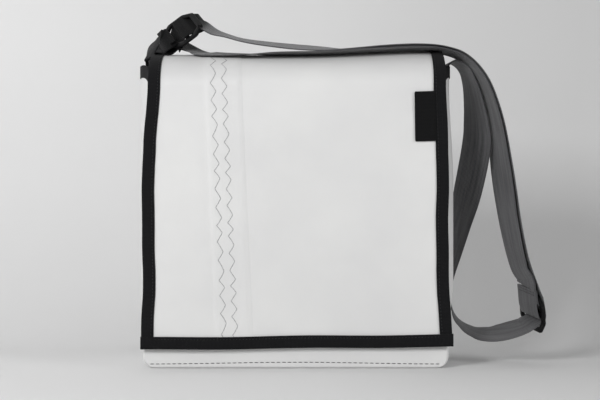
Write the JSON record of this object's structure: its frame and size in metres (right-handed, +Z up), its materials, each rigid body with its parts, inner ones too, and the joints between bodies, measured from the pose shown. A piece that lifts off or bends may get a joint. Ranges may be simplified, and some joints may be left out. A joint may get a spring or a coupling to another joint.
{
  "type": "messenger bag",
  "caption": "Upright cloth shoulder bag with a deep front flap, bound edges, a wide webbing strap, a strap ring and a strap adjuster.",
  "frame": {"origin": "centre of the bottom panel's underside, which the bag stands on", "axes": "+Z up, -Y towards the flap's front, +X towards the side where the strap hangs down"},
  "size_m": [0.4406, 0.1278, 0.3823],
  "materials": {
    "sailcloth": "matt",
    "edge_tape": "matt",
    "hook_and_loop": "matt",
    "webbing": "satin",
    "moulded_plastic": "satin"
  },
  "bodies": {
    "bag": {"front_panel": "sailcloth", "back_panel": "sailcloth", "left_gusset": "sailcloth", "right_gusset": "sailcloth", "bottom_panel": "sailcloth", "front_rim_tape": "edge_tape", "back_rim_tape": "edge_tape", "left_rim_tape": "edge_tape", "right_rim_tape": "edge_tape", "flap_left_panel_sewn_edge": "sailcloth", "flap_right_panel_sewn_edge": "sailcloth", "flap_left_tape_sewn_edge": "edge_tape", "flap_right_tape_sewn_edge": "edge_tape", "loop_strip_left": "hook_and_loop", "loop_strip_right": "hook_and_loop", "left_tab_sewn_end": "webbing", "strap_long_run": "webbing", "strap_inner_drop": "webbing"},
    "flap_top": {"flap_left_panel_top": "sailcloth", "flap_right_panel_top": "sailcloth", "flap_left_tape_top": "edge_tape", "flap_right_tape_top": "edge_tape"},
    "flap_front": {"flap_left_panel_front": "sailcloth", "flap_right_panel_front": "sailcloth", "flap_left_tape_front": "edge_tape", "flap_right_tape_front": "edge_tape", "flap_bottom_tape": "edge_tape", "label_tab": "edge_tape", "hook_strip_left": "hook_and_loop", "hook_strip_right": "hook_and_loop"},
    "strap": {"left_tab": "webbing", "strap_over_top": "webbing"},
    "ring": {"strap_ring": "moulded_plastic"},
    "adjuster": {"strap_adjuster": "moulded_plastic", "strap_end_fold": "webbing"}
  },
  "joints": [
    {"name": "flap_hinge", "type": "hinge", "parent": "bag", "child": "flap_top", "pos_m": [0, 0.0559, 0.2955], "axis": [-1, 0, 0], "range_deg": [0, 95]},
    {"name": "flap_fold", "type": "hinge", "parent": "flap_top", "child": "flap_front", "pos_m": [0, -0.0476, 0.3166], "axis": [-1, 0, 0], "range_deg": [0, 135]},
    {"name": "strap_carry", "type": "hinge", "parent": "bag", "child": "strap", "pos_m": [0, 0.0559, 0.2955], "axis": [-1, 0, 0], "range_deg": [0, 95], "deforming": ["left_tab", "strap_over_top"]},
    {"name": "ring_pivot", "type": "hinge", "parent": "strap", "child": "ring", "pos_m": [-0.1404, -0.002, 0.3507], "axis": [0.271, -0.8922, -0.3613], "range_deg": [-12, 20]},
    {"name": "adjuster_slide", "type": "slide", "parent": "bag", "child": "adjuster", "axis": [-0.2205, -0.1603, 0.9621], "range_m": [0, 0.02], "deforming": ["strap_long_run", "strap_inner_drop"]}
  ],
  "couplings": [
    {"joint": "strap_carry", "follows": "flap_hinge", "ratio": 1}
  ]
}
